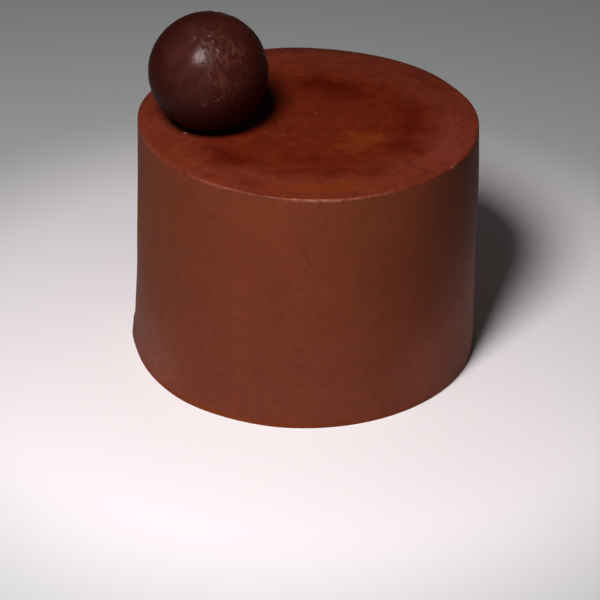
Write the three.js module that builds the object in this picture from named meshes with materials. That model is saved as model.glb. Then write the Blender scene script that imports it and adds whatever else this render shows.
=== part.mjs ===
// A round, uncut cake in a smooth chocolate coat, with a chocolate ball standing on its top.
// Millimetres, +Z up. The origin is the middle of the flat base, and the front faces -Y.
// Angles are in degrees about +Z: 0 is +X, 90 the back and -90 the front.

import * as THREE from "three";

// Driving dimensions of the cake
const CAKE_HEIGHT = 109.2;
const WALL_FOOT_RADIUS = 76.0;
const WALL_TOP_RADIUS = 73.6;
const RIM_ROUND = 1.2; // radius of the turn from the wall to the top
const TOP_TILT = 0.5; // how far the left of the top stands above its middle
const RIM_WAVE_DEPTH = 34; // how far down the wall the waves of the rim fade out
const FOOT_HEIGHT = 12; // height of the soft flare where the coat meets its support
const FOOT_FLARE = 0.3; // reach of that flare, before the waves of the foot

// Driving dimensions of the ball
const BALL_RADIUS = 25.3;
const BALL_X = -42.8;
const BALL_Y = -8.9;
const BALL_FLAT_RADIUS = 4; // small flat spot that it stands on
const BALL_GAP = 0.1; // clear of the top of the cake

// The coat is smoothed by hand, so its rim and foot stand out or in by a millimetre:
// each wave has its angle, its spread in degrees and its reach in millimetres.
const RIM_WAVES = [
  { at: -150, spread: 20, reach: -0.4 },
  { at: -116, spread: 13, reach: -0.6 },
  { at: -82, spread: 14, reach: 0.5 },
  { at: -35, spread: 22, reach: -0.5 },
  { at: 57, spread: 7, reach: 0.5 },
  { at: 105, spread: 14, reach: 0.4 },
  { at: 160, spread: 16, reach: 0.4 },
];
const FOOT_WAVES = [
  { at: -148, spread: 30, reach: 1.2 },
  { at: -45, spread: 28, reach: -0.6 },
];

// How finely the surfaces are divided
const CAKE_SIDES = 120;
const BALL_SIDES = 44;
const BALL_RINGS = 22;
const BASE_RINGS = 2;
const FOOT_RINGS = 4;
const WALL_RINGS = 9;
const RIM_RINGS = 4;
const TOP_RINGS = 6;

// Finishes
const CAKE_COLOUR = 0x6f341f;
const CAKE_ROUGHNESS = 0.5;
const BALL_COLOUR = 0x3a1a14;
const BALL_ROUGHNESS = 0.35;

/** Radius of the plain tapered wall at a height. */
function wallRadius(height) {
  return THREE.MathUtils.lerp(WALL_FOOT_RADIUS, WALL_TOP_RADIUS, height / CAKE_HEIGHT);
}

/** Sum of the waves at an angle, each a smooth bump that wraps round the circle. */
function waveSum(waves, angle) {
  let sum = 0;
  for (const { at, spread, reach } of waves) {
    const away = THREE.MathUtils.euclideanModulo(angle - at + 180, 360) - 180;
    sum += reach * Math.exp(-0.5 * (away / spread) ** 2);
  }
  return sum;
}

/** How far the coat stands outside the plain wall, at an angle and a height. */
function coatReach(angle, height) {
  const belowRim = (CAKE_HEIGHT - height) / RIM_WAVE_DEPTH;
  const rimShare = 1 - THREE.MathUtils.smoothstep(belowRim, 0, 1);
  const footShare = Math.max(0, 1 - height / FOOT_HEIGHT) ** 2;
  const foot = FOOT_FLARE + waveSum(FOOT_WAVES, angle);
  return rimShare * waveSum(RIM_WAVES, angle) + footShare * foot;
}

/** Lift of the cake's levels at a place: none at the base, a slight tilt at the top. */
function levelLift(x, height) {
  return (-TOP_TILT * x * height) / (WALL_TOP_RADIUS * CAKE_HEIGHT);
}

/** Points from one to another along a straight profile line, without the first. */
function lineTo(from, to, steps) {
  const points = [];
  for (let step = 1; step <= steps; step += 1) {
    points.push(from.clone().lerp(to, step / steps));
  }
  return points;
}

/** Half section of the plain cake, from the middle of its base round to the middle of its top. */
function cakeProfile() {
  const roundStart = CAKE_HEIGHT - RIM_ROUND;
  const flatRadius = wallRadius(roundStart) - RIM_ROUND;
  const baseMiddle = new THREE.Vector2(0, 0);
  const baseEdge = new THREE.Vector2(wallRadius(0), 0);
  const footTop = new THREE.Vector2(wallRadius(FOOT_HEIGHT), FOOT_HEIGHT);
  const wallTop = new THREE.Vector2(wallRadius(roundStart), roundStart);
  const topEdge = new THREE.Vector2(flatRadius, CAKE_HEIGHT);
  const topMiddle = new THREE.Vector2(0, CAKE_HEIGHT);

  const points = [baseMiddle];
  points.push(...lineTo(baseMiddle, baseEdge, BASE_RINGS));
  points.push(...lineTo(baseEdge, footTop, FOOT_RINGS));
  points.push(...lineTo(footTop, wallTop, WALL_RINGS));
  for (let ring = 1; ring < RIM_RINGS; ring += 1) {
    const turn = (Math.PI / 2) * (ring / RIM_RINGS);
    const radius = flatRadius + RIM_ROUND * Math.cos(turn);
    points.push(new THREE.Vector2(radius, roundStart + RIM_ROUND * Math.sin(turn)));
  }
  points.push(topEdge);
  points.push(...lineTo(topEdge, topMiddle, TOP_RINGS));
  return points;
}

/** Solid of revolution about +Z from a half section of radius and height. */
function turned(profile, sides) {
  return new THREE.LatheGeometry(profile, sides).rotateX(Math.PI / 2);
}

/** The coated cake: the turned section, then the waves of its rim and foot and its tilted top. */
function makeCake() {
  const geometry = turned(cakeProfile(), CAKE_SIDES);
  const position = geometry.getAttribute("position");
  const place = new THREE.Vector3();
  for (let i = 0; i < position.count; i += 1) {
    place.fromBufferAttribute(position, i);
    const height = place.z;
    const angle = THREE.MathUtils.radToDeg(Math.atan2(place.y, place.x));
    const stretch = 1 + coatReach(angle, height) / wallRadius(height);
    place.x *= stretch;
    place.y *= stretch;
    place.z += levelLift(place.x, height);
    position.setXYZ(i, place.x, place.y, place.z);
  }
  geometry.computeVertexNormals();
  const material = new THREE.MeshStandardMaterial({
    color: CAKE_COLOUR,
    roughness: CAKE_ROUGHNESS,
    metalness: 0,
  });
  const mesh = new THREE.Mesh(geometry, material);
  mesh.name = "cake";
  return mesh;
}

/** Depth of the ball's flat spot below its centre. */
function flatDepth() {
  return Math.sqrt(BALL_RADIUS ** 2 - BALL_FLAT_RADIUS ** 2);
}

/** Half section of the ball, from the middle of its flat spot up to its top. */
function ballProfile() {
  const start = Math.asin(-flatDepth() / BALL_RADIUS);
  const points = [new THREE.Vector2(0, -flatDepth())];
  for (let ring = 0; ring < BALL_RINGS; ring += 1) {
    const rise = THREE.MathUtils.lerp(start, Math.PI / 2, ring / BALL_RINGS);
    points.push(new THREE.Vector2(BALL_RADIUS * Math.cos(rise), BALL_RADIUS * Math.sin(rise)));
  }
  points.push(new THREE.Vector2(0, BALL_RADIUS));
  return points;
}

/** The ball, standing on the higher edge of the tilted top under its flat spot. */
function makeBall() {
  const geometry = turned(ballProfile(), BALL_SIDES);
  const material = new THREE.MeshStandardMaterial({
    color: BALL_COLOUR,
    roughness: BALL_ROUGHNESS,
    metalness: 0,
  });
  const mesh = new THREE.Mesh(geometry, material);
  mesh.name = "chocolate_ball";
  const seat = CAKE_HEIGHT + levelLift(BALL_X - BALL_FLAT_RADIUS, CAKE_HEIGHT);
  mesh.position.set(BALL_X, BALL_Y, seat + BALL_GAP + flatDepth());
  return mesh;
}

const group = new THREE.Group();
group.add(makeCake());
group.add(makeBall());

export default group;
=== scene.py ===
"""Looks of a round cake in a smooth chocolate coat, with a dark chocolate ball standing on its top.

Shapes are worked out in millimetres, as the cake was measured, and turned to metres when a mesh is made.
Angles are in degrees about +Z: 0 is +X, 90 the back and -90 the front.
"""

import logging
import math
from dataclasses import dataclass
from enum import Enum
from typing import Any

import bpy
import numpy as np
from mathutils import Matrix, Vector


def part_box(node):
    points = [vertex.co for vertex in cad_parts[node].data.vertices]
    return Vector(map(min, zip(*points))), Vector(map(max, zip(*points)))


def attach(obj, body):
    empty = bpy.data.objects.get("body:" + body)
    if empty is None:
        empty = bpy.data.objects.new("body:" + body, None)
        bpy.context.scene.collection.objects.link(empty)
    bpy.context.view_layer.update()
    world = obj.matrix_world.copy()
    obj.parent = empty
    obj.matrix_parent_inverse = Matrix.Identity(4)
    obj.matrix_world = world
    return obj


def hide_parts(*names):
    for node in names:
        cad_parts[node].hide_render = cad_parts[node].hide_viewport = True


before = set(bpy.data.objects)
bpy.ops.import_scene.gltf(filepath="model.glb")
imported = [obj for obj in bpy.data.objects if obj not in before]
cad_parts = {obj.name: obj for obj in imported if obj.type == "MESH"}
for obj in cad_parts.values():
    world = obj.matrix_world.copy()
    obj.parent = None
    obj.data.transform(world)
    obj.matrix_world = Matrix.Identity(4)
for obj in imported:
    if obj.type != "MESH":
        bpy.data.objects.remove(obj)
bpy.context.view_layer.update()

MM = 0.001
BODY = "root"
SHARP_ANGLE = 60.0
QUARTER_TURN = math.pi / 2.0
log = logging.getLogger("chocolate_cake")

Point = tuple[float, float, float]
Colour = tuple[float, float, float]
Span = tuple[float, float]
Socket = bpy.types.NodeSocket
Feed = Socket | float | tuple[float, ...]


# Uneven surfaces


@dataclass(frozen=True)
class Wave:
    """A smooth swelling round the cake: its angle, its spread in degrees and its reach in mm."""

    at: float
    spread: float
    reach: float


def wave_sum(waves: tuple[Wave, ...], angle: np.ndarray) -> np.ndarray:
    """Adds up waves round the circle.

    Args:
        waves: The waves to add.
        angle: Angles in degrees.

    Returns:
        The sum of their reaches at each angle, in mm.
    """
    total = np.zeros_like(angle)
    for wave in waves:
        away = (angle - wave.at + 180.0) % 360.0 - 180.0
        total += wave.reach * np.exp(-0.5 * (away / wave.spread) ** 2)
    return total


@dataclass(frozen=True)
class Ripple:
    """Seeded smooth unevenness: plane waves of about one length in mm, in random directions."""

    seed: int
    length: float
    reach: float
    stretch: Point = (1.0, 1.0, 1.0)
    count: int = 36
    length_span: Span = (0.6, 1.7)

    def at(self, points: np.ndarray) -> np.ndarray:
        """Reads the unevenness at some points.

        Args:
            points: Places in mm, with x, y and z on the last axis.

        Returns:
            The height of the surface there, in mm.
        """
        draw = np.random.default_rng(self.seed)
        ways = draw.normal(size=(self.count, 3))
        ways /= np.linalg.norm(ways, axis=1, keepdims=True)
        lengths = self.length * draw.uniform(*self.length_span, self.count)
        phases = draw.uniform(0.0, math.tau, self.count)
        turns = math.tau * ways / lengths[:, None] / np.array(self.stretch)
        total = np.zeros(points.shape[:-1])
        for turn, phase in zip(turns, phases):
            total += np.sin(points @ turn + phase)
        return self.reach * total / math.sqrt(self.count / 2.0)


def fade(value: np.ndarray, start: float, end: float) -> np.ndarray:
    """Rises smoothly from 0 at start to 1 at end."""
    share = np.clip((value - start) / (end - start), 0.0, 1.0)
    return share * share * (3.0 - 2.0 * share)


# Meshes


def directions(rise: np.ndarray, ways: np.ndarray) -> np.ndarray:
    """Makes unit vectors.

    Args:
        rise: Angles above the level, in radians, as a column.
        ways: Angles about +Z, in radians, as a row.

    Returns:
        A vector for each rise and way, of shape (rises, ways, 3).
    """
    flat = np.cos(rise)
    return np.stack(np.broadcast_arrays(flat * np.cos(ways), flat * np.sin(ways), np.sin(rise)), -1)


def ring_faces(count: int, sides: int, offset: int = 0) -> list[tuple[int, ...]]:
    """Lists the faces of a closed shape of rings, with a middle point under and over them.

    Args:
        count: How many rings there are, from the lower end to the upper.
        sides: Points in each ring.
        offset: Number of the first point.

    Returns:
        Point numbers of each face; the two middle points follow the rings, the lower one first.
    """
    side = np.arange(sides)
    beside = (side + 1) % sides
    under = np.full(sides, count * sides)
    faces = np.stack([under, beside, side], -1).tolist()
    for low in range(0, (count - 1) * sides, sides):
        high = low + sides
        faces += np.stack([low + side, low + beside, high + beside, high + side], -1).tolist()
    top = (count - 1) * sides
    faces += np.stack([under + 1, top + side, top + beside], -1).tolist()
    return [tuple(number + offset for number in face) for face in faces]


def smooth_object(name: str, points: np.ndarray, faces: list[tuple[int, ...]]) -> bpy.types.Object:
    """Makes a smooth object with its real edges kept sharp.

    Args:
        name: The object's name.
        points: Its points in mm.
        faces: Point numbers of each face.

    Returns:
        The new object, in the scene, with its points in metres.
    """
    mesh = bpy.data.meshes.new(name)
    mesh.from_pydata((points * MM).tolist(), [], faces)
    mesh.shade_smooth()
    mesh.set_sharp_from_angle(angle=math.radians(SHARP_ANGLE))
    made = bpy.data.objects.new(name, mesh)
    bpy.context.scene.collection.objects.link(made)
    return made


def turned_object(name: str, rings: np.ndarray, foot: Point) -> bpy.types.Object:
    """Closes rings of points into one object.

    Args:
        name: The object's name.
        rings: Points in mm, of shape (rings, sides, 3), from the lower end to the upper.
        foot: The middle of the lower end, in mm.

    Returns:
        The new object.
    """
    middles = np.array([foot, rings[-1].mean(axis=0)])
    points = np.concatenate([rings.reshape(-1, 3), middles])
    return smooth_object(name, points, ring_faces(*rings.shape[:2]))


def settle(piece: bpy.types.Object, node: str | None, material: bpy.types.Material) -> None:
    """Dresses a piece and ties it to the frame.

    Args:
        piece: The piece.
        node: The solid that it stands for, or None for a piece that is only in the scene.
        material: Its finish.
    """
    piece.data.materials.append(material)
    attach(piece, BODY)
    if node:
        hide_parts(node)
    log.info("%s: %d faces, finish %s", piece.name, len(piece.data.polygons), material.name)


# Shader nodes


class Sheet:
    """A shader node tree with short calls that add nodes and join them."""

    def __init__(self, tree: bpy.types.NodeTree) -> None:
        """Keeps the tree."""
        self.tree = tree

    def feed(self, socket: Socket, value: Feed) -> None:
        """Joins an input to another node, or sets its plain value.

        Args:
            socket: The input.
            value: What goes into it.
        """
        if isinstance(value, Socket):
            self.tree.links.new(value, socket)
        else:
            socket.default_value = value

    def node(
        self, kind: str, inputs: dict[str | int, Feed] | None = None, **settings: Any
    ) -> bpy.types.Node:
        """Adds a node.

        Args:
            kind: Its type, without the leading ShaderNode.
            inputs: What goes into its inputs, by name or place.
            **settings: Properties of the node.

        Returns:
            The new node.
        """
        made = self.tree.nodes.new("ShaderNode" + kind)
        for name, value in settings.items():
            setattr(made, name, value)
        for name, value in (inputs or {}).items():
            self.feed(made.inputs[name], value)
        return made

    def math(self, operation: str, first: Feed, second: Feed = 0.0, clamp: bool = False) -> Socket:
        """Works out one sum of two numbers."""
        return self.node("Math", {0: first, 1: second}, operation=operation, use_clamp=clamp).outputs[0]

    def chain(self, operation: str, first: Feed, others: tuple[Feed, ...]) -> Socket:
        """Works out the same sum of several numbers, one after the other.

        Args:
            operation: The sum.
            first: The first number.
            others: The numbers that follow it.

        Returns:
            The result.
        """
        for other in others:
            first = self.math(operation, first, other)
        return first

    def plus(self, first: Feed, *others: Feed) -> Socket:
        """Adds numbers together."""
        return self.chain("ADD", first, others)

    def times(self, first: Feed, *others: Feed) -> Socket:
        """Multiplies numbers together."""
        return self.chain("MULTIPLY", first, others)

    def vector(self, operation: str, first: Feed, second: Feed = (0.0, 0.0, 0.0)) -> Socket:
        """Works out one sum of two vectors that gives a vector."""
        return self.node("VectorMath", {0: first, 1: second}, operation=operation).outputs["Vector"]

    def number(self, operation: str, first: Feed, second: Feed = (0.0, 0.0, 0.0)) -> Socket:
        """Works out one sum of two vectors that gives a number."""
        return self.node("VectorMath", {0: first, 1: second}, operation=operation).outputs["Value"]

    def ramp(self, value: Feed, start: Feed, end: Feed, low: Feed = 0.0, high: Feed = 1.0) -> Socket:
        """Takes a number smoothly from one span to another."""
        inputs = {"Value": value, "From Min": start, "From Max": end, "To Min": low, "To Max": high}
        return self.node("MapRange", inputs, interpolation_type="SMOOTHSTEP").outputs[0]

    def between(self, share: Feed, low: Feed, high: Feed) -> Socket:
        """Goes smoothly from one number to another as a share goes from 0 to 1."""
        return self.ramp(share, 0.0, 1.0, low, high)

    def mix(self, share: Feed, first: Feed, second: Feed, blend: str = "MIX") -> Socket:
        """Mixes two colours."""
        inputs = {0: share, 6: first, 7: second}  # places of the sockets for colours
        return self.node("Mix", inputs, data_type="RGBA", blend_type=blend).outputs[2]

    def shade(self, colour: Feed, level: Feed) -> Socket:
        """Multiplies a colour by a number."""
        grey = self.node("CombineColor", {0: level, 1: level, 2: level}).outputs[0]
        return self.mix(1.0, colour, grey, "MULTIPLY")

    def place(self, group: bpy.types.NodeTree, **inputs: Feed) -> Socket:
        """Puts a node group in the tree.

        Args:
            group: The group.
            **inputs: What goes into its inputs, by name.

        Returns:
            Its output.
        """
        made = self.tree.nodes.new("ShaderNodeGroup")
        made.node_tree = group
        for name, value in inputs.items():
            self.feed(made.inputs[name], value)
        return made.outputs[0]

    def noise(self, where: Socket, often: Feed, detail: float) -> bpy.types.Node:
        """Adds soft noise at places, with so many clouds to each unit."""
        return self.node("TexNoise", {"Vector": where, "Scale": often, "Detail": detail})

    def height(self, where: Socket) -> Socket:
        """Gives the third number of a place."""
        return self.node("SeparateXYZ", {0: where}).outputs[2]

    def flat(self, where: Socket) -> Socket:
        """Gives a place at the level of the base."""
        return self.vector("MULTIPLY", where, (1.0, 1.0, 0.0))

    def millimetres(self) -> Socket:
        """Gives the place on the piece, in mm in the shared frame."""
        return self.vector("DIVIDE", self.node("TexCoord").outputs["Object"], (MM, MM, MM))


class Kind(Enum):
    """Kinds of socket that a node group has."""

    NUMBER = "NodeSocketFloat"
    PLACE = "NodeSocketVector"


class Effects:
    """Node groups that the finishes share, each built once."""

    NOISE_MIDDLE: float = 0.5
    CLOUD_DETAIL: float = 3.0
    CLOUD_SPAN: float = 0.25  # of the noise, either side of its middle, at a contrast of 1
    SOFT_DETAIL: float = 2.0
    STREAK_CHANGE: float = 3.0  # how fast streaks change round the axis
    STREAK_SPAN: Span = (0.3, 0.7)
    SMUDGE_REACH: float = 2.0  # where a spot ends, in its sizes

    def __init__(self) -> None:
        """Builds every group."""
        self.mottle = self.make_mottle()
        self.specks = self.make_specks()
        self.smudge = self.make_smudge()
        self.smear = self.make_smear()
        self.streaks = self.make_streaks()
        self.scratch = self.make_scratch()

    @staticmethod
    def start(name: str, inputs: dict[str, Kind], output: str) -> tuple[Sheet, dict[str, Socket], Socket]:
        """Begins a node group.

        Args:
            name: The group's name.
            inputs: Its inputs and their kinds.
            output: The name of its one output, a number.

        Returns:
            The sheet to build on, the group's inputs by name, and the output's socket.
        """
        tree = bpy.data.node_groups.new(name, "ShaderNodeTree")
        for label, kind in inputs.items():
            tree.interface.new_socket(name=label, in_out="INPUT", socket_type=kind.value)
        tree.interface.new_socket(name=output, in_out="OUTPUT", socket_type=Kind.NUMBER.value)
        came = tree.nodes.new("NodeGroupInput").outputs
        goes = tree.nodes.new("NodeGroupOutput").inputs[0]
        return Sheet(tree), {label: came[label] for label in inputs}, goes

    def make_mottle(self) -> bpy.types.NodeTree:
        """Makes cloudy unevenness of a size in mm, from 0 to 1, the harder the higher its contrast.

        Returns:
            The group.
        """
        inputs = {"Place": Kind.PLACE, "Size": Kind.NUMBER, "Contrast": Kind.NUMBER}
        sheet, given, goes = self.start("cloudy_mottle", inputs, "Share")
        often = sheet.math("DIVIDE", 1.0, given["Size"])
        noise = sheet.noise(given["Place"], often, self.CLOUD_DETAIL)
        half = sheet.math("DIVIDE", self.CLOUD_SPAN, given["Contrast"])
        low = sheet.math("SUBTRACT", self.NOISE_MIDDLE, half)
        high = sheet.math("ADD", self.NOISE_MIDDLE, half)
        sheet.feed(goes, sheet.ramp(noise.outputs["Fac"], low, high))
        return sheet.tree

    def make_specks(self) -> bpy.types.NodeTree:
        """Makes scattered soft dots: spacing and size in mm, and the share of places that hold one.

        Returns:
            The group.
        """
        inputs = {"Place": Kind.PLACE, "Spacing": Kind.NUMBER, "Size": Kind.NUMBER, "Share": Kind.NUMBER}
        sheet, given, goes = self.start("scattered_specks", inputs, "Mask")
        often = sheet.math("DIVIDE", 1.0, given["Spacing"])
        cells = sheet.node("TexVoronoi", {"Vector": given["Place"], "Scale": often})
        away = sheet.times(cells.outputs["Distance"], given["Spacing"])
        chosen = sheet.node("SeparateColor", {0: cells.outputs["Color"]}).outputs[0]
        held = sheet.math("LESS_THAN", chosen, given["Share"])
        dot = sheet.ramp(away, 0.0, given["Size"], 1.0, 0.0)
        sheet.feed(goes, sheet.times(dot, held))
        return sheet.tree

    def make_smudge(self) -> bpy.types.NodeTree:
        """Makes a soft round spot: its centre, and its size in mm.

        Returns:
            The group.
        """
        inputs = {"Place": Kind.PLACE, "Centre": Kind.PLACE, "Size": Kind.NUMBER}
        sheet, given, goes = self.start("soft_smudge", inputs, "Mask")
        away = sheet.math("DIVIDE", sheet.number("DISTANCE", given["Place"], given["Centre"]), given["Size"])
        sheet.feed(goes, sheet.ramp(away, 0.0, self.SMUDGE_REACH, 1.0, 0.0))
        return sheet.tree

    def make_smear(self) -> bpy.types.NodeTree:
        """Makes a soft arc round the axis: direction, radius and width in mm, and half spread in radians.

        Returns:
            The group.
        """
        inputs = {
            "Place": Kind.PLACE,
            "Direction": Kind.PLACE,
            "Radius": Kind.NUMBER,
            "Width": Kind.NUMBER,
            "Spread": Kind.NUMBER,
        }
        sheet, given, goes = self.start("smoothing_smear", inputs, "Mask")
        flat = sheet.flat(given["Place"])
        radius = sheet.number("LENGTH", flat)
        chord = sheet.number("DISTANCE", sheet.vector("NORMALIZE", flat), given["Direction"])
        across = sheet.math("DIVIDE", sheet.math("SUBTRACT", radius, given["Radius"]), given["Width"])
        along = sheet.math("DIVIDE", chord, given["Spread"])
        squares = sheet.math("ADD", sheet.times(across, across), sheet.times(along, along))
        sheet.feed(goes, sheet.math("POWER", math.e, sheet.times(squares, -1.0)))
        return sheet.tree

    def make_streaks(self) -> bpy.types.NodeTree:
        """Makes fine streaks that run round the axis, of a width in mm, from 0 to 1.

        Returns:
            The group.
        """
        inputs = {"Place": Kind.PLACE, "Width": Kind.NUMBER}
        sheet, given, goes = self.start("trowel_streaks", inputs, "Share")
        flat = sheet.flat(given["Place"])
        step = sheet.math("DIVIDE", sheet.number("LENGTH", flat), given["Width"])
        way = sheet.node("SeparateXYZ", {0: sheet.vector("NORMALIZE", flat)}).outputs
        turn = [sheet.times(part, self.STREAK_CHANGE) for part in (way[0], way[1])]
        spot = sheet.node("CombineXYZ", {0: step, 1: turn[0], 2: turn[1]}).outputs[0]
        noise = sheet.noise(spot, 1.0, self.SOFT_DETAIL)
        sheet.feed(goes, sheet.ramp(noise.outputs["Fac"], *self.STREAK_SPAN))
        return sheet.tree

    def make_scratch(self) -> bpy.types.NodeTree:
        """Makes a thin straight mark from one place to another, with its half width in mm.

        Returns:
            The group.
        """
        inputs = {"Place": Kind.PLACE, "Start": Kind.PLACE, "End": Kind.PLACE, "Width": Kind.NUMBER}
        sheet, given, goes = self.start("thin_scratch", inputs, "Mask")
        way = sheet.vector("SUBTRACT", given["End"], given["Start"])
        off = sheet.vector("SUBTRACT", given["Place"], given["Start"])
        reach = sheet.number("DOT_PRODUCT", off, way)
        share = sheet.math("DIVIDE", reach, sheet.number("DOT_PRODUCT", way, way), clamp=True)
        spot = sheet.node("VectorMath", {0: way, "Scale": share}, operation="SCALE").outputs[0]
        sheet.feed(goes, sheet.ramp(sheet.number("DISTANCE", off, spot), 0.0, given["Width"], 1.0, 0.0))
        return sheet.tree


def new_material(name: str) -> tuple[bpy.types.Material, Sheet, bpy.types.Node]:
    """Starts a material.

    Args:
        name: Its name.

    Returns:
        The material, the sheet of its nodes and its Principled shader.
    """
    material = bpy.data.materials.new(name)
    material.use_nodes = True
    shader = material.node_tree.nodes["Principled BSDF"]
    return material, Sheet(material.node_tree), shader


def rgba(colour: Colour) -> tuple[float, float, float, float]:
    """Gives a linear colour full alpha."""
    return (*colour, 1.0)


@dataclass(frozen=True)
class Ground:
    """What a finish is drawn on: a material's nodes, the shared groups and the place on the piece in mm."""

    sheet: Sheet
    effects: Effects
    where: Socket

    def put(self, group: bpy.types.NodeTree, **inputs: Feed) -> Socket:
        """Places a shared group on the ground, with its other inputs by name."""
        return self.sheet.place(group, Place=self.where, **inputs)

    def moved(self, where: Socket) -> "Ground":
        """Gives the same ground with other places, in mm."""
        return Ground(self.sheet, self.effects, where)

    def bent(self, size: float, reach: float) -> "Ground":
        """Shifts places at random, so that the marks drawn there get uneven outlines.

        Args:
            size: Size of the unevenness in mm.
            reach: How far apart two shifts can be, in mm.

        Returns:
            The ground with the shifted places.
        """
        sheet = self.sheet
        noise = sheet.noise(self.where, 1.0 / size, Effects.SOFT_DETAIL).outputs["Color"]
        shift = sheet.vector("SUBTRACT", noise, (Effects.NOISE_MIDDLE,) * 3)
        return self.moved(sheet.vector("ADD", self.where, sheet.vector("MULTIPLY", shift, (reach,) * 3)))


# Marks on the chocolate


@dataclass(frozen=True)
class Mottle:
    """Clouds in a finish: their size in mm, how hard they are, and how far they change a value."""

    size: float
    contrast: float = 1.0
    reach: float = 1.0

    def share(self, ground: Ground) -> Socket:
        """Puts the clouds on a ground, from 0 to 1."""
        return ground.put(ground.effects.mottle, Size=self.size, Contrast=self.contrast)

    def change(self, ground: Ground) -> Socket:
        """Puts the clouds on a ground, from 0 to their reach."""
        return ground.sheet.times(self.share(ground), self.reach)


@dataclass(frozen=True)
class Specks:
    """Scattered dots: spacing and size in mm, the share of places that hold one, and their strength."""

    spacing: float
    size: float
    share: float
    strength: float

    def mask(self, ground: Ground) -> Socket:
        """Puts the dots on a ground, from 0 to 1."""
        return ground.put(ground.effects.specks, Spacing=self.spacing, Size=self.size, Share=self.share)


@dataclass(frozen=True)
class Smear:
    """An arc round the top: its angle, its radius and width in mm, half spread in degrees and strength."""

    angle: float
    radius: float
    width: float
    spread: float
    strength: float

    def mask(self, ground: Ground) -> Socket:
        """Puts the arc on a ground.

        Args:
            ground: What it is drawn on.

        Returns:
            Its strength there.
        """
        turn = math.radians(self.angle)
        arc = ground.put(
            ground.effects.smear,
            Direction=(math.cos(turn), math.sin(turn), 0.0),
            Radius=self.radius,
            Width=self.width,
            Spread=math.radians(self.spread),
        )
        return ground.sheet.times(arc, self.strength)


@dataclass(frozen=True)
class Smudge:
    """A soft spot: its place and size in mm, and its strength."""

    centre: Point
    size: float
    strength: float

    def mask(self, ground: Ground) -> Socket:
        """Puts the spot on a ground, and gives its strength there."""
        spot = ground.put(ground.effects.smudge, Centre=self.centre, Size=self.size)
        return ground.sheet.times(spot, self.strength)


@dataclass(frozen=True)
class Scratch:
    """A thin mark: where it starts and ends in mm, its half width and its strength."""

    start: Point
    end: Point
    width: float
    strength: float

    def rise(self, points: np.ndarray) -> np.ndarray:
        """Works out how far a surface is raised along the mark.

        Args:
            points: Places in mm, with x, y and z on the last axis.

        Returns:
            The mark's share there, from 0 to 1.
        """
        way = np.subtract(self.end, self.start)
        off = points - np.array(self.start)
        share = np.clip(off @ way / (way @ way), 0.0, 1.0)
        away = np.linalg.norm(off - share[..., None] * way, axis=-1)
        return 1.0 - fade(away, 0.0, self.width)

    def mask(self, ground: Ground) -> Socket:
        """Puts the mark on a ground, and gives its strength there."""
        line = ground.put(ground.effects.scratch, Start=self.start, End=self.end, Width=self.width)
        return ground.sheet.times(line, self.strength)


Mark = Smear | Smudge | Scratch


def mark_sum(marks: tuple[Mark, ...], ground: Ground) -> Socket:
    """Adds up marks.

    Args:
        marks: The marks.
        ground: What they are drawn on.

    Returns:
        Their strength there, no higher than 1.
    """
    total: Feed = 0.0
    for mark in marks:
        total = ground.sheet.math("ADD", total, mark.mask(ground), clamp=True)
    return total


@dataclass(frozen=True)
class Grain:
    """Fine bumps: their clouds, their strength and their depth in mm."""

    clouds: Mottle
    strength: float
    depth: float

    def raise_by(self, sheet: Sheet, shader: bpy.types.Node, height: Socket) -> None:
        """Bumps a surface.

        Args:
            sheet: The material's nodes.
            shader: Its Principled shader.
            height: The height at each place, as a share of the depth.
        """
        bump = sheet.node("Bump", {"Strength": self.strength, "Distance": self.depth * MM, "Height": height})
        sheet.feed(shader.inputs["Normal"], bump.outputs[0])


# Finishes


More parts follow.
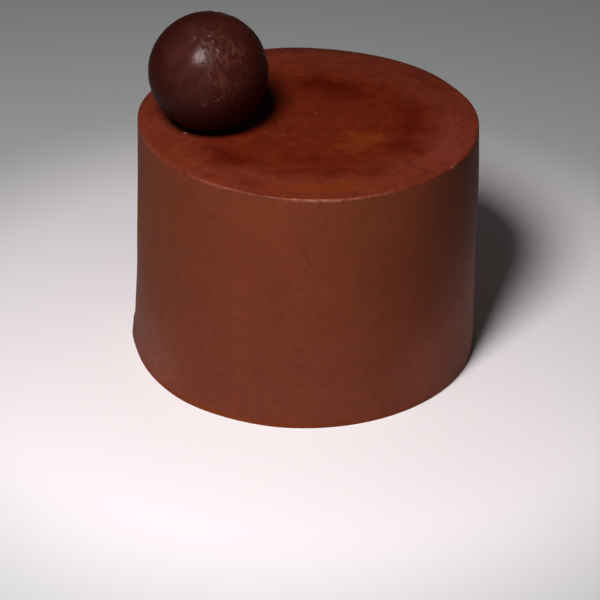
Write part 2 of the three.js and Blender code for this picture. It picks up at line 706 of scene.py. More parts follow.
@dataclass(frozen=True)
class CoatFinish:
    """Satin chocolate coat: an even wall with faint smudges, and a top with darker smoothing arcs. Part of
    its colour is painted light: sheen and tints at the sides, shade on the back of the rim and in its nick,
    a highlight along the lip and a lit line at the foot.
    """

    wall: Colour = (0.132, 0.0283, 0.0104)
    # painted sheen: the lower wall is greyer, as the pale floor's reflection
    wall_low_with_sheen: Colour = (0.138, 0.0302, 0.0140)
    wall_dark: Colour = (0.085, 0.0150, 0.0045)
    # painted light: a richer, less grey orange for the flared foot, where it faces up to the key lamp and
    # has no sheen
    foot: Colour = (0.152, 0.0258, 0.0018)
    top: Colour = (0.110, 0.0122, 0.0034)
    border: Colour = (0.130, 0.0200, 0.0092)
    deep: Colour = (0.066, 0.0036, 0.0008)
    patch: Colour = (0.150, 0.0245, 0.0048)
    rosy: Colour = (0.162, 0.0275, 0.0170)
    # painted shade: the colour of the back of the rim, which is turned away from the key lamp
    edge: Colour = (0.066, 0.0185, 0.0095)
    # worn is the pale of the scratches on the top, and also the painted highlight along the lip of the rim
    worn: Colour = (0.290, 0.1000, 0.0580)
    # on the coat, the colour of its painted sheen: the pale floor's reflection at the right edge and low on
    # the wall
    bloom_and_sheen: Colour = (0.270, 0.0840, 0.0570)
    # painted light: cool and warm tint the right and left sides of the wall
    cool: Colour = (0.115, 0.0327, 0.0247)
    warm: Colour = (0.136, 0.0290, 0.0050)
    wall_roughness: float = 0.52
    top_roughness: float = 0.36
    matt_patches: Mottle = Mottle(5.0, reach=0.1)
    specular: float = 0.06
    grain: Grain = Grain(Mottle(0.8, 0.8), 0.25, 0.02)
    top_start: float = 1.8  # below the top, where the wall's finish starts to turn into the top's
    top_full: float = 0.7  # below the top, where that turn ends
    wall_levels: Span = (10.0, 80.0)
    wall_tone: float = 0.89
    wall_clouds: Mottle = Mottle(24.0, reach=0.08)
    wall_patches: Mottle = Mottle(4.0, 1.2, 0.14)
    wall_specks: Specks = Specks(11.0, 1.5, 0.35, 0.16)
    sheen_span: Span = (0.85, 1.15)
    foot_levels: Span = (0.4, 3.4)
    foot_share: float = 0.65
    top_tone: float = 0.745
    top_blotches: Mottle = Mottle(6.0, 1.6, 0.18)
    top_patches: Mottle = Mottle(2.6, reach=0.18)
    streak_width: float = 2.4
    streak_reach: float = 0.15
    border_clouds: Mottle = Mottle(14.0, 1.2, 8.0)
    border_start: float = 27.0  # inside the rim, where the border starts to show
    border_full: float = 9.0  # inside the rim, where it shows in full
    border_share: float = 0.95
    waver_size: float = 9.0
    waver_reach: float = 14.0
    uneven_span: Span = (0.65, 1.35)
    mark_levels: Span = (0.03, 0.85)
    mark_share: float = 0.85
    lip_breaks: Mottle = Mottle(2.0, 1.4)
    lip_least: float = 0.4
    dark_marks: tuple[Mark, ...] = (
        Smear(72.0, 36.0, 5.0, 25.0, 0.78),
        Smear(86.0, 35.0, 5.0, 12.0, 0.30),
        Smear(62.0, 30.0, 6.0, 22.0, 0.50),
        Smear(60.0, 22.0, 7.0, 45.0, 0.32),
        Smear(64.0, 61.0, 9.0, 26.0, 0.18),
        Smear(98.0, 70.0, 3.5, 9.0, 0.70),
        Smear(36.0, 66.0, 6.0, 14.0, 0.36),
        Smear(-6.0, 44.0, 10.0, 32.0, 0.44),
        Smear(18.0, 44.0, 6.5, 9.0, 0.24),
        Smear(-8.0, 45.0, 6.5, 9.0, 0.18),
        Smear(-33.0, 46.0, 6.0, 10.0, 0.36),
        Smear(-31.0, 54.0, 4.0, 6.0, 0.32),
        Smear(-92.0, 37.0, 6.0, 26.0, 0.42),
        Smear(-68.0, 48.0, 7.0, 16.0, 0.26),
        Smear(-98.0, 49.0, 3.0, 20.0, 0.36),
        Smear(-80.0, 52.5, 3.2, 22.0, 0.36),
        Smear(-60.0, 57.0, 3.5, 10.0, 0.30),
        Smear(-110.0, 65.0, 6.0, 8.0, 0.40),
        Smear(-133.0, 51.0, 9.0, 15.0, 0.76),
        Smear(176.0, 66.0, 6.0, 8.0, 0.35),
        # painted shade in the nick of the rim at the front left
        Smudge((-51.0, -51.8, 109.4), 1.3, 0.80),
    )
    pale_marks: tuple[Mark, ...] = (
        Smudge((25.0, -19.0, 109.0), 5.0, 0.76),
        Smudge((15.5, -26.5, 109.0), 4.5, 0.72),
        Smudge((20.0, -12.5, 109.0), 4.0, 0.52),
        Smudge((31.0, -15.0, 109.0), 3.5, 0.40),
        Smear(-42.0, 29.0, 8.0, 24.0, 0.30),
        Smear(-86.0, 65.0, 6.0, 26.0, 0.70),
        Smear(-150.0, 66.0, 8.0, 20.0, 0.40),
        Smear(108.0, 46.0, 9.0, 14.0, 0.45),
        Smear(44.0, 52.0, 7.0, 11.0, 0.35),
        Smudge((0.0, 0.0, 109.2), 9.0, 0.15),
    )
    rosy_marks: tuple[Mark, ...] = (Smear(-20.0, 64.0, 8.0, 26.0, 0.70),)
    # painted shade along the back of the rim
    rim_shade_marks: tuple[Smear, ...] = (
        Smear(82.0, 73.6, 5.0, 24.0, 0.85),
        Smear(45.0, 74.0, 3.4, 8.0, 0.80),
        Smear(170.0, 74.0, 1.8, 14.0, 0.60),
    )
    # painted highlight: a thin pale line along the lip of the rim, where the key lamp catches it
    lip_highlight_marks: tuple[Smear, ...] = (
        Smear(-160.0, 73.0, 0.8, 18.0, 0.12),
        Smear(-124.0, 73.2, 0.6, 8.0, 0.22),
        Smear(-112.0, 73.3, 0.6, 8.0, 0.38),
        Smear(-100.0, 73.8, 0.6, 8.0, 0.56),
        Smear(-90.0, 74.2, 0.6, 7.0, 0.60),
        Smear(-80.0, 74.3, 0.6, 7.0, 0.50),
        Smear(-68.0, 73.9, 0.6, 10.0, 0.35),
        Smear(-35.2, 73.1, 0.8, 0.7, 0.90),
        Smear(-33.2, 73.1, 0.6, 0.5, 0.60),
    )
    smudges: tuple[Smudge, ...] = (
        # painted shade: the wall darkened high on its front left
        Smudge((-53.0, -53.0, 96.0), 22.0, 0.20),
        # painted shade in the nick of the rim at the front left
        Smudge((-51.3, -52.2, 108.4), 1.3, 0.70),
        Smudge((-21.6, -72.3, 25.0), 1.4, 0.40),
        Smudge((-18.9, -73.0, 26.0), 1.2, 0.35),
        Smudge((-9.7, -74.2, 55.2), 1.0, 0.50),
        Smudge((-28.3, -69.3, 50.2), 1.3, 0.30),
        Smudge((-21.6, -71.6, 56.6), 1.1, 0.20),
        Smudge((-50.5, -54.2, 99.0), 1.6, 0.35),
        Smudge((-32.1, -68.2, 29.6), 1.3, 0.20),
        Smudge((-17.0, -72.6, 50.0), 1.3, 0.25),
        Smudge((-2.1, -75.3, 31.3), 1.3, 0.18),
        Smudge((45.0, -59.0, 66.0), 17.0, 0.24),
        # painted shade: the wall darkened high on its front right
        Smudge((62.0, -40.0, 94.0), 15.0, 0.42),
    )
    # painted sheen: pale greyish patches where the wall would reflect the pale floor, at its right edge and
    # low down
    painted_sheen_marks: tuple[Smudge, ...] = (
        Smudge((72.5, -19.5, 36.0), 22.0, 0.70),
        Smudge((72.5, -19.5, 64.0), 18.0, 0.08),
        Smudge((70.0, -24.0, 86.0), 14.0, 0.10),
        Smudge((55.0, -52.0, 18.0), 15.0, 0.30),
        Smudge((-66.0, -38.0, 8.0), 16.0, 0.30),
        Smudge((72.5, -17.0, 8.0), 10.0, 0.22),
    )
    # painted light: the right side of the wall tinted cooler and greyer, as the floor's reflection there
    painted_cool_side: tuple[Smudge, ...] = (
        Smudge((73.0, -12.0, 62.0), 24.0, 0.60),
        Smudge((73.0, -12.0, 28.0), 24.0, 0.60),
    )
    # painted light: the left side of the wall tinted warmer, with less of the floor's grey sheen
    painted_warm_side: tuple[Smudge, ...] = (
        Smudge((-72.0, -20.0, 82.0), 22.0, 0.70),
        Smudge((-72.0, -20.0, 44.0), 22.0, 0.55),
    )
    wall_scratches: tuple[Scratch, ...] = (
        Scratch((-4.0, -74.0, 91.0), (1.5, -74.2, 79.0), 0.70, 0.45),
        Scratch((12.3, -72.9, 95.8), (15.6, -72.2, 96.0), 0.45, 0.30),
        Scratch((24.6, -69.7, 94.3), (27.9, -68.5, 93.2), 0.45, 0.30),
    )
    top_scratches: tuple[Scratch, ...] = (
        Scratch((-13.6, -15.8, 109.3), (-9.8, -16.8, 109.3), 0.5, 0.55),
        Scratch((14.0, 42.0, 109.2), (19.0, 41.0, 109.2), 0.4, 0.45),
        Scratch((-4.0, 44.5, 109.3), (-2.8, 43.5, 109.3), 0.4, 0.45),
    )

    def material(self, effects: Effects, height: float, rim: float) -> bpy.types.Material:
        """Makes the coat's material.

        Args:
            effects: The shared node groups.
            height: The cake's height in mm.
            rim: The radius of its rim in mm.

        Returns:
            The material.
        """
        material, sheet, shader = new_material("chocolate_coat")
        ground = Ground(sheet, effects, sheet.millimetres())
        level = sheet.height(ground.where)
        on_top = sheet.ramp(level, height - self.top_start, height - self.top_full)
        base = sheet.mix(on_top, self.wall_colour(ground, level), self.top_colour(ground, rim))
        # painted highlight along the lip of the rim, broken into dots
        broken = sheet.math("ADD", self.lip_breaks.share(ground), self.lip_least)
        lip = sheet.times(mark_sum(self.lip_highlight_marks, ground), on_top, broken)
        sheet.feed(shader.inputs["Base Color"], sheet.mix(lip, base, rgba(self.worn)))

        matt = sheet.between(on_top, self.wall_roughness, self.top_roughness)
        matt = sheet.math("ADD", matt, self.matt_patches.change(ground))
        sheet.feed(shader.inputs["Roughness"], matt)
        sheet.feed(shader.inputs["Specular IOR Level"], self.specular)
        self.grain.raise_by(sheet, shader, self.grain.clouds.share(ground))
        return material

    def wall_colour(self, ground: Ground, level: Socket) -> Socket:
        """Colours the wall: nearly even, with faint clouds and smudges, and painted light: a greyer lower
        wall and pale patches of sheen, a cooler right side and a warmer left side, darker patches high on
        the left and right, and a richer, lit line at the foot.

        Args:
            ground: What the finish is drawn on.
            level: The height on the piece in mm.

        Returns:
            The colour.
        """
        sheet = ground.sheet
        patches = self.wall_patches.share(ground)
        clouds = self.wall_clouds.change(ground)
        # painted sheen: the wall turns greyer towards the foot
        base = sheet.mix(sheet.ramp(level, *self.wall_levels), rgba(self.wall_low_with_sheen), rgba(self.wall))
        # painted light: a cooler right side and a warmer left side
        for tints, colour in ((self.painted_cool_side, self.cool), (self.painted_warm_side, self.warm)):
            base = sheet.mix(mark_sum(tints, ground), base, rgba(colour))
        tone = sheet.plus(clouds, sheet.times(patches, self.wall_patches.reach), self.wall_tone)
        base = sheet.shade(base, tone)
        specks = sheet.times(self.wall_specks.mask(ground), self.wall_specks.strength)
        marks = mark_sum(self.smudges + self.wall_scratches, ground)
        marks = sheet.math("ADD", marks, specks, clamp=True)
        base = sheet.mix(marks, base, rgba(self.wall_dark))
        # painted sheen on the right edge and low on the wall
        bloom_and_sheen = mark_sum(self.painted_sheen_marks, ground)
        bloom_and_sheen = sheet.times(bloom_and_sheen, sheet.between(patches, *self.sheen_span))
        base = sheet.mix(bloom_and_sheen, base, rgba(self.bloom_and_sheen))
        # painted light: the richer line at the foot stands in for the lit flare
        foot = sheet.ramp(level, *self.foot_levels, self.foot_share, 0.0)
        return sheet.mix(foot, base, rgba(self.foot))

    def top_colour(self, ground: Ground, rim: float) -> Socket:
        """Colours the top: a paler border, darker and paler arcs, and fine streaks along them, with painted
        shade on the back of the rim and in its nick.

        Args:
            ground: What the finish is drawn on.
            rim: The radius of the rim in mm.

        Returns:
            The colour.
        """
        sheet = ground.sheet
        streaks = ground.put(ground.effects.streaks, Width=self.streak_width)
        patches = self.top_patches.share(ground)
        radius = sheet.number("LENGTH", sheet.flat(ground.where))
        wobble = sheet.math("ADD", radius, self.border_clouds.change(ground))
        border = sheet.ramp(wobble, rim - self.border_start, rim - self.border_full, 0.0, self.border_share)
        tone = sheet.plus(
            sheet.times(streaks, self.streak_reach),
            sheet.times(patches, self.top_patches.reach),
            self.top_blotches.change(ground),
            self.top_tone,
        )
        base = sheet.shade(sheet.mix(border, rgba(self.top), rgba(self.border)), tone)
        both = sheet.math("ADD", streaks, patches)  # from 0 to 2
        uneven = sheet.ramp(both, 0.0, 2.0, *self.uneven_span)
        layers = (
            (self.pale_marks, self.patch),
            (self.rosy_marks, self.rosy),
            (self.dark_marks, self.deep),
        )
        bent = ground.bent(self.waver_size, self.waver_reach)
        for marks, colour in layers:
            share = sheet.times(mark_sum(marks, bent), uneven)
            share = sheet.ramp(share, *self.mark_levels, 0.0, self.mark_share)
            base = sheet.mix(share, base, rgba(colour))
        # painted shade on the back of the rim
        base = sheet.mix(mark_sum(self.rim_shade_marks, ground), base, rgba(self.edge))
        return sheet.mix(mark_sum(self.top_scratches, ground), base, rgba(self.worn))


@dataclass(frozen=True)
class BallFinish:
    """Dark moulded chocolate: satin on one half, scuffed and rubbed pale on the other, with painted light: a
    pool of light on the front, a paler upper right, and darker colour towards the edges.
    """

    # painted shade: the ball's colour away from its painted pool of light
    dark: Colour = (0.025, 0.0038, 0.0025)
    # painted light: the colour of the smooth half inside the pool of light
    light_pool: Colour = (0.040, 0.0098, 0.0080)
    scuffed: Colour = (0.034, 0.0060, 0.0040)
    # on the ball, the pale of its rubbed strokes
    bloom_and_sheen: Colour = (0.076, 0.0210, 0.0150)
    pit: Colour = (0.009, 0.0013, 0.0009)
    fleck: Colour = (0.120, 0.0480, 0.0370)
    light_pool_roughness: float = 0.22
    plain_roughness: float = 0.50
    scuffed_roughness: float = 0.38
    specular: float = 0.04
    grain: Grain = Grain(Mottle(0.9, 0.8), 0.6, 0.15)
    smooth_grain: float = 0.25
    light_pool_centre: Point = (0.0, -19.0, 14.0)
    light_pool_reach: Span = (11.0, 25.0)
    seam_reach: Span = (-0.5, 3.5)
    crown_levels: Span = (8.0, 18.0)
    crown_reach: Span = (4.0, 10.0)
    wander: Mottle = Mottle(6.0, reach=2.0)
    upright: Point = (1.0, 1.0, 0.6)
    smears: Mottle = Mottle(5.0, 1.2)
    smear_span: Span = (0.84, 1.16)
    strokes: Mottle = Mottle(2.0, 1.8)
    clouds: Mottle = Mottle(8.0, 1.2)
    bloom_share: float = 0.7
    pits: Specks = Specks(2.2, 0.8, 0.5, 0.75)
    fleck_breaks: Mottle = Mottle(0.9, 1.4)
    fleck_span: Span = (0.3, 1.3)
    fleck_waver_size: float = 1.6
    fleck_waver_reach: float = 2.0

    def material(
        self, effects: Effects, centre: Point, seam: Point, flecks: tuple[Scratch, ...]
    ) -> bpy.types.Material:
        """Makes the ball's material.

        Args:
            effects: The shared node groups.
            centre: The ball's centre in mm.
            seam: Unit direction across its seam, towards the scuffed half.
            flecks: The pale marks on the ball, in mm from its centre.

        Returns:
            The material.
        """
        material, sheet, shader = new_material("dark_chocolate")
        local = Ground(sheet, effects, sheet.vector("SUBTRACT", sheet.millimetres(), centre))
        tall = local.moved(sheet.vector("MULTIPLY", local.where, self.upright))
        wander = self.wander.change(local)
        across = sheet.math("ADD", sheet.number("DOT_PRODUCT", local.where, seam), wander)
        on_scuffed = sheet.ramp(across, *self.seam_reach)
        # painted light: a pool of light on the front of the ball, fading to the dark colour as painted shade
        # towards the edges
        away = sheet.math("ADD", sheet.number("DISTANCE", local.where, self.light_pool_centre), wander)
        light_pool = sheet.ramp(away, *self.light_pool_reach, 1.0, 0.0)

        pits = self.pits.mask(tall)
        smooth = sheet.shade(rgba(self.light_pool), sheet.between(self.smears.share(tall), *self.smear_span))
        bloom_and_sheen = sheet.times(self.strokes.share(tall), self.clouds.share(local), self.bloom_share)
        scuffed = sheet.mix(bloom_and_sheen, rgba(self.scuffed), rgba(self.bloom_and_sheen))
        scuffed = sheet.mix(sheet.times(pits, self.pits.strength), scuffed, rgba(self.pit))
        # painted light: the upper right of the ball, right of the seam, keeps the paler scuffed colour
        # instead of the dark one
        crown_light = sheet.ramp(sheet.height(local.where), *self.crown_levels)
        crown_light = sheet.times(crown_light, sheet.ramp(across, *self.crown_reach))
        plain = sheet.mix(crown_light, rgba(self.dark), rgba(self.scuffed))
        base = sheet.mix(light_pool, plain, sheet.mix(on_scuffed, smooth, scuffed))
        broken = sheet.between(self.fleck_breaks.share(local), *self.fleck_span)
        pale = mark_sum(flecks, local.bent(self.fleck_waver_size, self.fleck_waver_reach))
        pale = sheet.math("MULTIPLY", pale, broken, clamp=True)
        sheet.feed(shader.inputs["Base Color"], sheet.mix(pale, base, rgba(self.fleck)))

        satin = sheet.between(light_pool, self.plain_roughness, self.light_pool_roughness)
        satin = sheet.between(on_scuffed, satin, self.scuffed_roughness)
        sheet.feed(shader.inputs["Roughness"], satin)
        sheet.feed(shader.inputs["Specular IOR Level"], self.specular)
        grain = self.grain.clouds.share(tall)
        grain = sheet.times(grain, sheet.between(on_scuffed, self.smooth_grain, 1.0))
        self.grain.raise_by(sheet, shader, sheet.math("SUBTRACT", grain, sheet.times(pits, on_scuffed)))
        return material


@dataclass(frozen=True)
class CrumbFinish:
    """Dry chocolate crumbs, paler than the coat."""

    light: Colour = (0.220, 0.0800, 0.0370)
    dark: Colour = (0.140, 0.0420, 0.0180)
    roughness: Span = (0.6, 0.8)
    clouds: Mottle = Mottle(0.4)

    def material(self, effects: Effects) -> bpy.types.Material:
        """Makes the crumbs' material.

        Args:
            effects: The shared node groups.

        Returns:
            The material.
        """
        material, sheet, shader = new_material("dry_crumb")
        share = self.clouds.share(Ground(sheet, effects, sheet.millimetres()))
        sheet.feed(shader.inputs["Base Color"], sheet.mix(share, rgba(self.dark), rgba(self.light)))
        sheet.feed(shader.inputs["Roughness"], sheet.between(share, *self.roughness))
        return material


# The cake


@dataclass
class Cake:
    """The coated cake, in mm and degrees, with its rim and foot as the smoothing by hand left them."""

    height: float
    foot_radius: float
    top_radius: float = 73.6
    top_tilt: float = 0.5
    rim_round: float = 1.2
    rim_wave_depth: float = 34.0
    lip_reach: float = 0.35
    lip_depth: float = 1.1
    lip_start: Span = (-132.5, -130.5)
    lip_end: Span = (-85.0, -50.0)
    nick_depth: float = 2.2
    nick_span: float = 5.0
    nick_step: float = 0.3
    foot_flare: float = 0.3
    foot_fade: float = 3.8
    foot_band: float = 14.0
    rim_band: float = 6.0
    base_fade: float = 2.0
    swirl_centre: Point = (6.0, -5.0, 0.0)
    swirl_step: float = 6.5
    swirl_reach: float = 0.02
    swirl_border: Span = (12.0, 3.0)
    seat_spread: float = 9.0
    sides: int = 440
    base_rings: int = 4
    foot_rings: int = 16
    wall_rings: int = 54
    band_rings: int = 15
    rim_rings: int = 12
    top_rings: int = 52
    rim_waves: tuple[Wave, ...] = (
        Wave(-150.0, 20.0, -0.4),
        Wave(-116.0, 13.0, -0.6),
        Wave(-82.0, 14.0, 0.5),
        Wave(-35.0, 22.0, -0.5),
        Wave(57.0, 7.0, 0.5),
        Wave(105.0, 14.0, 0.4),
        Wave(160.0, 16.0, 0.4),
    )
    rim_nicks: tuple[Wave, ...] = (
        Wave(-134.5, 1.6, -0.9),
        Wave(-35.0, 1.0, 0.3),
        Wave(-38.0, 1.4, -0.25),
    )
    round_waves: tuple[Wave, ...] = (
        Wave(-155.0, 14.0, -0.2),
        Wave(-97.0, 24.0, -0.7),
        Wave(-30.0, 16.0, -0.3),
    )
    foot_waves: tuple[Wave, ...] = (
        Wave(-150.0, 36.0, 0.65),
        Wave(-132.0, 8.0, 0.5),
        Wave(-98.0, 8.0, 0.25),
        Wave(-45.0, 26.0, -0.85),
    )
    left_waves: tuple[Wave, ...] = (Wave(177.0, 7.7, 1.0),)
    bead_reach: float = 0.62
    bead_levels: Span = (6.0, 9.8)
    lean_reach: float = 1.5
    lean_levels: Span = (5.0, 52.0)
    ripples: tuple[Ripple, ...] = (
        Ripple(11, 48.0, 0.14),
        Ripple(12, 17.0, 0.016),
        Ripple(13, 5.0, 0.002),
        Ripple(14, 4.0, 0.004, stretch=(14.0, 14.0, 1.0)),
    )

    @classmethod
    def from_frame(cls) -> "Cake":
        """Takes the main sizes from the cake's solid.

        Returns:
            The cake of those sizes.
        """
        low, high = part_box("cake")
        foot_radius = (high.y - low.y) / 2.0 / MM - cls.foot_flare
        return cls(height=high.z / MM - cls.top_tilt, foot_radius=foot_radius)

    def angles(self) -> np.ndarray:
        """Works out the angles of the mesh's sides.

        Returns:
            Angles in degrees, to a tenth, as a row, closer together at the nicks of the rim.
        """
        even = np.linspace(-180.0, 180.0, self.sides, endpoint=False)
        span = np.arange(-self.nick_span, self.nick_span, self.nick_step)
        nicks = [nick.at + span for nick in self.rim_nicks]
        return np.unique(np.concatenate([even, *nicks]).round(1))[None, :]

    def lip(self, angle: np.ndarray) -> np.ndarray:
        """Share of the sharp lip that stands out along the front of the rim."""
        return fade(angle, *self.lip_start) * (1.0 - fade(angle, *self.lip_end))

    def wall(self, angle: np.ndarray, level: np.ndarray) -> np.ndarray:
        """Works out the radius of the wall.

        Args:
            angle: Angles in degrees.
            level: Heights in mm.

        Returns:
            The radius there in mm, with the waves of the rim and the foot.
        """
        plain = self.foot_radius + (self.top_radius - self.foot_radius) * level / self.height
        below = self.height - level
        rim = wave_sum(self.rim_waves, angle) * (1.0 - fade(below, 0.0, self.rim_wave_depth))
        nicks = wave_sum(self.rim_nicks, angle) * np.exp(-((below / self.nick_depth) ** 2))
        lip = self.lip_reach * self.lip(angle) * np.exp(-((below / self.lip_depth) ** 2))
        flare = (self.foot_flare + wave_sum(self.foot_waves, angle)) * np.exp(-level / self.foot_fade)
        bead = self.bead_reach * (1.0 - fade(level, *self.bead_levels))
        lean = self.lean_reach * (1.0 - fade(level, *self.lean_levels))
        return plain + rim + nicks + lip + flare + wave_sum(self.left_waves, angle) * (bead + lean)

    def levels(self) -> np.ndarray:
        """Works out where the wall's rings lie.

        Returns:
            Shares of its height, as a column, closer together at the foot and under the rim.
        """
        low = self.foot_band / self.height
        high = 1.0 - self.rim_band / self.height
        foot = np.linspace(0.0, low, self.foot_rings, endpoint=False)
        middle = np.linspace(low, high, self.wall_rings, endpoint=False)
        return np.concatenate([foot, middle, np.linspace(high, 1.0, self.band_rings)])[:, None]

    def rings(self, seat: Point) -> np.ndarray:
        """Works out the whole surface.

        Args:
            seat: Where the ball stands, in mm.

        Returns:
            Points in mm, of shape (rings, sides, 3), from the base up the wall and over the rim to the top.
        """
        angle = self.angles()
        rounding = self.rim_round + wave_sum(self.round_waves, angle)
        shoulder = self.height - rounding
        edge = self.wall(angle, shoulder)
        foot = self.wall(angle, np.zeros_like(angle))

        out = np.linspace(0.0, 1.0, self.base_rings + 1)[1:-1, None]
        wall_level = self.levels() * shoulder
        turn = np.linspace(0.0, QUARTER_TURN, self.rim_rings)[1:, None]
        inward = np.linspace(1.0, 0.0, self.top_rings + 1)[1:-1, None]
        top_level = np.ones_like(inward) * np.full_like(angle, self.height)

        base = (out * foot, np.zeros_like(out * foot), np.zeros_like(out))
        wall = (self.wall(angle, wall_level), wall_level, np.zeros_like(self.levels()))
        rim = (edge - rounding * (1.0 - np.cos(turn)), shoulder + rounding * np.sin(turn), turn)
        top = (inward * (edge - rounding), top_level, np.full_like(inward, QUARTER_TURN))
        radius, level, lean = (np.concatenate(parts) for parts in zip(base, wall, rim, top))

        ways = np.radians(angle)
        points = np.stack([radius * np.cos(ways), radius * np.sin(ways), level], -1)
        points[..., 2] -= self.top_tilt * points[..., 0] * level / (self.top_radius * self.height)
        return points + directions(lean, ways) * self.relief(points, level, np.sin(lean), seat)[..., None]

    def relief(self, points: np.ndarray, level: np.ndarray, upward: np.ndarray, seat: Point) -> np.ndarray:
        """Works out the unevenness of the coat, with none on the base or under the ball.

        Args:
            points: Places in mm.
            level: Their heights in mm, without the tilt.
            upward: How far the surface faces up, from 0 on the wall to 1 on the top.
            seat: Where the ball stands, in mm.

        Returns:
            How far the coat stands out there, in mm.
        """
        total = sum(ripple.at(points) for ripple in self.ripples)
        swirl = np.linalg.norm((points - np.array(self.swirl_centre))[..., :2], axis=-1)
        radius = np.linalg.norm(points[..., :2], axis=-1)
        start, end = (self.top_radius - inset for inset in self.swirl_border)
        inside = 1.0 - fade(radius, start, end)
        total += self.swirl_reach * np.sin(math.tau * swirl / self.swirl_step) * inside * upward
        away = np.linalg.norm(points - np.array(seat), axis=-1)
        return total * fade(level, 0.0, self.base_fade) * fade(away, 0.0, self.seat_spread)

    def build(self, seat: Point) -> bpy.types.Object:
        """Makes the mesh of the cake, with the ball's seat in mm left even."""
        return turned_object("coated_cake", self.rings(seat), (0.0, 0.0, 0.0))

    def dress(self, piece: bpy.types.Object, effects: Effects) -> None:
        """Gives the cake its coat and ties it to the frame."""
        finish = CoatFinish().material(effects, self.height, self.top_radius)
        settle(piece, "cake", finish)


# The ball


@dataclass
class ChocolateBall:
    """The ball, in mm: two moulded halves joined at an upright seam, the right one scuffed."""

    centre: Point
    radius: float
    flat: float
    sides: int = 420
    rings_up: int = 210
    seam: Point = (0.981, 0.098, 0.167)
    fleck_height: float = 0.14
    seam_reach: Span = (-4.0, 5.0)
    seat_fade: float = 0.25
    ripples: tuple[Ripple, ...] = (Ripple(21, 30.0, 0.05), Ripple(22, 9.0, 0.014))
    scuff_patches: Ripple = Ripple(25, 11.0, 1.0)
    scuff_span: Span = (-0.8, 0.8)
    scuff_least: float = 0.45
    scuffs: tuple[Ripple, ...] = (
        Ripple(23, 3.4, 0.080, stretch=(1.0, 1.0, 1.7)),
        Ripple(24, 1.6, 0.045, stretch=(1.0, 1.0, 1.5)),
    )
    flecks: tuple[Scratch, ...] = (
        Scratch((10.7, -11.9, 19.6), (11.2, -16.3, 15.8), 0.7, 0.40),
        Scratch((3.6, -25.0, -1.9), (5.4, -24.7, -1.5), 0.8, 0.40),
        Scratch((5.0, -24.8, -1.5), (6.6, -24.4, 0.2), 0.8, 0.50),
        Scratch((-1.3, -25.2, -3.6), (0.5, -25.0, -3.4), 0.9, 0.40),
        Scratch((0.9, -23.2, 10.0), (1.9, -24.0, 7.6), 0.8, 0.35),
        # this fleck is partly a raised ridge and partly a painted bit of the highlight
        Scratch((-1.5, -18.9, 16.8), (-0.3, -19.9, 15.7), 0.8, 0.45),
        Scratch((1.0, -12.6, 21.9), (2.2, -11.6, 22.4), 0.8, 0.30),
        # this fleck is partly a raised ridge and partly a painted bit of the highlight
        Scratch((-5.0, -13.2, 21.0), (-4.5, -12.8, 21.3), 0.9, 0.60),
        Scratch((4.9, -17.3, 17.8), (4.9, -19.3, 15.6), 0.8, 0.30),
        Scratch((11.2, -19.0, 13.5), (14.5, -16.5, 12.9), 0.8, 0.25),
    )

    @classmethod
    def from_frame(cls) -> "ChocolateBall":
        """Takes the ball's size and place from its solid.

        Returns:
            The ball of that size, at that place.
        """
        low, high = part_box("chocolate_ball")
        radius = (high.x - low.x) / 2.0 / MM
        middle = (low + high) / 2.0 / MM
        centre = (middle.x, middle.y, high.z / MM - radius)
        depth = centre[2] - low.z / MM
        return cls(centre=centre, radius=radius, flat=math.sqrt(radius**2 - depth**2))

    def seat(self) -> Point:
        """Middle of the flat spot that the ball stands on, in mm."""
        return (self.centre[0], self.centre[1], self.centre[2] - math.sqrt(self.radius**2 - self.flat**2))

    def build(self) -> bpy.types.Object:
        """Makes the mesh of the ball, from its flat spot to its top.

        Returns:
            The ball.
        """
        start = -math.acos(self.flat / self.radius)
        rise = np.linspace(start, QUARTER_TURN, self.rings_up)[:-1, None]
        ways = np.linspace(-math.pi, math.pi, self.sides, endpoint=False)[None, :]
        out = directions(rise, ways)
        local = out * self.radius
        patches = fade(self.scuff_patches.at(local), *self.scuff_span)
        worn = self.scuff_least + (1.0 - self.scuff_least) * patches
        worn *= fade(local @ np.array(self.seam), *self.seam_reach)
        relief = sum(ripple.at(local) for ripple in self.ripples)
        relief += sum(ripple.at(local) for ripple in self.scuffs) * worn
        relief += self.fleck_height * sum(fleck.strength * fleck.rise(local) for fleck in self.flecks)
        relief *= fade(rise - start, 0.0, self.seat_fade)
        rings = local + out * relief[..., None] + np.array(self.centre)
        return turned_object("scuffed_ball", rings, self.seat())

    def dress(self, piece: bpy.types.Object, effects: Effects) -> None:
        """Gives the ball its chocolate and ties it to the frame."""
        finish = BallFinish().material(effects, self.centre, self.seam, self.flecks)
        settle(piece, "chocolate_ball", finish)


# Crumbs


@dataclass(frozen=True)
class Crumb:
    """A loose crumb on the top: its place and its size in mm."""

    x: float
    y: float
    size: float


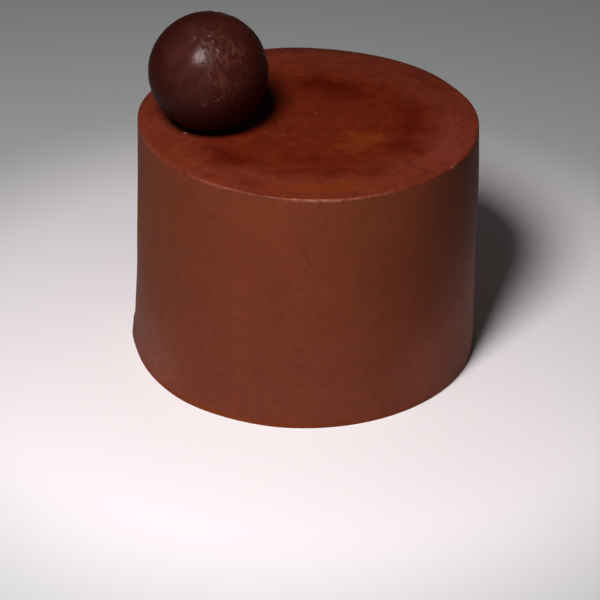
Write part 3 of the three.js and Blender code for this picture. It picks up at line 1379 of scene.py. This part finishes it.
@dataclass
class Crumbs:
    """A few loose crumbs on the top, each a lumpy grain half sunk in the coat."""

    level: float
    tilt: float
    sides: int = 14
    rings_up: int = 8
    rise_end: float = 1.3
    shape: Point = (1.0, 0.8, 0.7)
    lumps: Ripple = Ripple(31, 0.7, 0.16)
    crumbs: tuple[Crumb, ...] = (
        Crumb(-52.3, -17.3, 0.75),
        Crumb(-53.6, -16.6, 0.4),
        Crumb(3.0, 5.0, 0.27),
        Crumb(5.2, 3.6, 0.18),
        Crumb(-19.0, -14.6, 0.25),
    )

    def build(self) -> bpy.types.Object:
        """Makes one mesh of all the crumbs.

        Returns:
            The crumbs.
        """
        rise = np.linspace(-self.rise_end, self.rise_end, self.rings_up)[:, None]
        ways = np.linspace(-math.pi, math.pi, self.sides, endpoint=False)[None, :]
        ends = np.array([[0.0, 0.0, -1.0], [0.0, 0.0, 1.0]])
        grain = np.concatenate([directions(rise, ways).reshape(-1, 3), ends])
        points: list[np.ndarray] = []
        faces: list[tuple[int, ...]] = []
        for crumb in self.crumbs:
            place = np.array([crumb.x, crumb.y, self.level - self.tilt * crumb.x])
            lumpy = grain * (1.0 + self.lumps.at(grain + place))[:, None] * crumb.size
            faces += ring_faces(self.rings_up, self.sides, len(points) * len(grain))
            points.append(place + lumpy * np.array(self.shape))
        return smooth_object("loose_crumbs", np.concatenate(points), faces)

    def dress(self, piece: bpy.types.Object, effects: Effects) -> None:
        """Gives the crumbs their finish and ties them to the frame."""
        settle(piece, None, CrumbFinish().material(effects))


# The studio


@dataclass(frozen=True)
class Lamp:
    """A soft lamp: its direction from the cake and distance, size in metres, power and what it adds."""

    name: str
    azimuth: float
    elevation: float
    distance: float
    width: float
    tall: float
    power: float
    colour: Colour = (1.0, 1.0, 1.0)
    diffuse: bool = True
    glossy: bool = True


@dataclass
class Studio:
    """Floor, lamps, surrounding light and camera, in metres; azimuths run to the right of the front."""

    floor_radius: float = 3.0
    floor_sides: int = 96
    floor_near: Colour = (0.86, 0.80, 0.81)
    floor_far: Colour = (0.50, 0.51, 0.51)
    floor_fade: Span = (0.145, 0.25)
    floor_roughness: float = 0.8
    aim: Point = (0.0, 0.0, 0.08)
    ambient: float = 0.020
    lens: float = 131.75
    sensor: float = 36.0
    camera_place: Point = (-0.00258, -0.85086, 0.52718)
    camera_pitch: float = 30.90
    camera_roll: float = 0.964
    lamps: tuple[Lamp, ...] = (
        Lamp("key_lamp", -19.0, 50.0, 0.62, 0.18, 0.18, 4.8),
        Lamp("glint_lamp", -31.0, 53.5, 0.7, 0.05, 0.40, 8.8, (1.0, 0.76, 0.77), diffuse=False),
        Lamp("back_lamp", 180.0, 0.0, 2.5, 1.2, 0.15, 24.0, glossy=False),
    )

    def build(self) -> None:
        """Makes the whole setting."""
        self.floor()
        for lamp in self.lamps:
            self.light(lamp)
        self.surroundings()
        self.camera()

    def floor(self) -> None:
        """Lays a plain pale floor that darkens softly away from the cake."""
        ways = np.linspace(0.0, math.tau, self.floor_sides, endpoint=False)
        edge = self.floor_radius * directions(np.zeros((1, 1)), ways[None, :])[0]
        mesh = bpy.data.meshes.new("floor")
        mesh.from_pydata(edge.tolist(), [], [tuple(range(self.floor_sides))])
        made = bpy.data.objects.new("floor", mesh)
        bpy.context.scene.collection.objects.link(made)
        material, sheet, shader = new_material("pale_floor")
        radius = sheet.number("LENGTH", sheet.node("TexCoord").outputs["Object"])
        share = sheet.ramp(radius, *self.floor_fade)
        colour = sheet.mix(share, rgba(self.floor_near), rgba(self.floor_far))
        sheet.feed(shader.inputs["Base Color"], colour)
        sheet.feed(shader.inputs["Roughness"], self.floor_roughness)
        mesh.materials.append(material)
        log.info("floor: radius %.1f m", self.floor_radius)

    def light(self, lamp: Lamp) -> None:
        """Places one lamp, turned towards the cake.

        Args:
            lamp: The lamp.
        """
        data = bpy.data.lights.new(lamp.name, "AREA")
        data.shape = "ELLIPSE"
        data.size = lamp.width
        data.size_y = lamp.tall
        data.energy = lamp.power
        data.color = lamp.colour
        made = bpy.data.objects.new(lamp.name, data)
        turn, rise = math.radians(lamp.azimuth), math.radians(lamp.elevation)
        back = Vector((math.sin(turn) * math.cos(rise), -math.cos(turn) * math.cos(rise), math.sin(rise)))
        made.location = Vector(self.aim) + back * lamp.distance
        made.rotation_mode = "QUATERNION"
        made.rotation_quaternion = (-back).to_track_quat("-Z", "Y")
        made.visible_diffuse = lamp.diffuse
        made.visible_glossy = lamp.glossy
        made.visible_camera = False
        bpy.context.scene.collection.objects.link(made)
        log.info("%s: %.2f W", lamp.name, lamp.power)

    def surroundings(self) -> None:
        """Sets low even light from all round."""
        world = bpy.data.worlds.new("studio")
        world.use_nodes = True
        back = world.node_tree.nodes["Background"]
        back.inputs["Color"].default_value = (1.0, 1.0, 1.0, 1.0)
        back.inputs["Strength"].default_value = self.ambient
        bpy.context.scene.world = world
        bpy.context.scene.view_settings.view_transform = "Standard"

    def camera(self) -> None:
        """Places the camera at the angle that the cake was seen from."""
        data = bpy.data.cameras.new("camera")
        data.sensor_width = self.sensor
        data.lens = self.lens
        made = bpy.data.objects.new("camera", data)
        pitch, roll = math.radians(self.camera_pitch), math.radians(self.camera_roll)
        right = Vector((1.0, 0.0, 0.0))
        up = Vector((0.0, math.sin(pitch), math.cos(pitch)))
        back = Vector((0.0, -math.cos(pitch), math.sin(pitch)))
        across = right * math.cos(roll) + up * math.sin(roll)
        above = up * math.cos(roll) - right * math.sin(roll)
        turned = Matrix((across, above, back)).transposed().to_4x4()
        made.matrix_world = Matrix.Translation(Vector(self.camera_place)) @ turned
        bpy.context.scene.collection.objects.link(made)
        bpy.context.scene.camera = made
        log.info("camera: lens %.1f mm", self.lens)


def main() -> None:
    """Builds and dresses each piece, then the studio."""
    logging.basicConfig(level=logging.INFO, format="%(name)s: %(message)s")
    effects = Effects()
    ball = ChocolateBall.from_frame()
    cake = Cake.from_frame()
    crumbs = Crumbs(level=cake.height, tilt=cake.top_tilt / cake.top_radius)
    cake.dress(cake.build(ball.seat()), effects)
    ball.dress(ball.build(), effects)
    crumbs.dress(crumbs.build(), effects)
    Studio().build()


if __name__ == "__main__":
    main()
